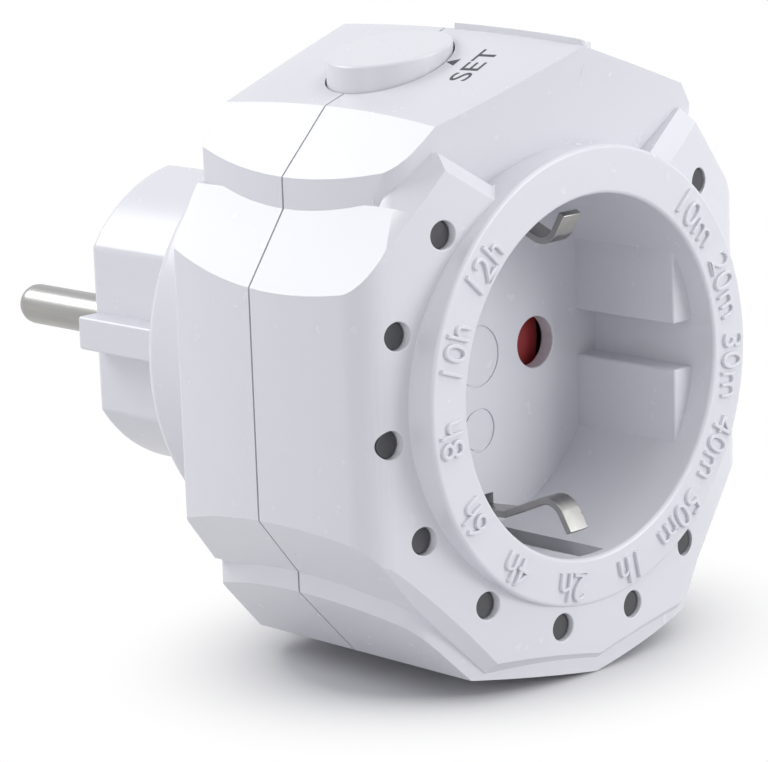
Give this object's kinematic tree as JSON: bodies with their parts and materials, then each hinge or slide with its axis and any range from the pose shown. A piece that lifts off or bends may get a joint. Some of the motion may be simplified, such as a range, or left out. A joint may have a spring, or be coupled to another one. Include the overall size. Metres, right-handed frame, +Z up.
{
  "type": "plug-in countdown timer socket adapter",
  "caption": "Single-outlet plug-in countdown timer with a round earthed socket in front, ring of time lights, set button on top and a round-pin earthed plug behind.",
  "frame": {"origin": "centre of the plug's end face, between the two pins", "axes": "+Y along the plug pins, out of the plug and into the wall socket; +Z up towards the set button; +X to the right seen from the socket side"},
  "size_m": [0.0606, 0.0837, 0.0693],
  "materials": {
    "housing": "satin",
    "insert": "satin",
    "button": "satin",
    "switch": "satin",
    "board": "satin",
    "ribbon": "matte",
    "led": "gloss",
    "lens": "gloss",
    "shutter": "satin",
    "cover": "matte",
    "spring_steel": "satin",
    "contact": "satin",
    "earth": "satin",
    "pin": "satin",
    "carrier": "matte",
    "relay": "gloss",
    "film_capacitor": "gloss",
    "can_capacitor": "gloss",
    "varistor": "gloss",
    "resistor": "matte",
    "screw": "satin"
  },
  "bodies": {
    "body": {"front_housing": "housing", "rear_housing": "housing", "plug_body": "housing", "socket_insert": "insert", "switch_body": "switch", "control_chip": "switch", "rectifier_diodes": "switch", "main_board": "board", "led_board": "board", "switch_board": "board", "flat_cable": "ribbon", "switch_cable": "ribbon", "leds": "led", "led_lenses": "lens", "shutter_cover": "cover", "shutter_spring": "spring_steel", "contact_left": "contact", "contact_right": "contact", "link_left": "contact", "link_right": "contact", "earth_strip_upper": "earth", "earth_strip_lower": "earth", "earth_bridge": "earth", "pin_left": "pin", "pin_right": "pin", "pin_carrier": "carrier", "relay": "relay", "dropper_capacitor": "film_capacitor", "smoothing_capacitor": "can_capacitor", "varistor": "varistor", "fuse_resistor": "resistor", "board_screws": "screw", "case_screws": "screw"},
    "button": {"set_button": "button", "switch_plunger": "switch"},
    "shutter": {"shutter": "shutter"}
  },
  "joints": [
    {"name": "button_press", "type": "slide", "parent": "body", "child": "button", "axis": [0, 0, -1], "range_m": [0, 0.0005], "stiffness_N_per_m": 1500, "springref_m": -0.0005},
    {"name": "shutter_turn", "type": "hinge", "parent": "body", "child": "shutter", "pos_m": [0, -0.0432, 0], "axis": [0, 1, 0], "range_deg": [0, 38], "stiffness_Nm_per_rad": 0.002, "springref_deg": -20.05}
  ]
}
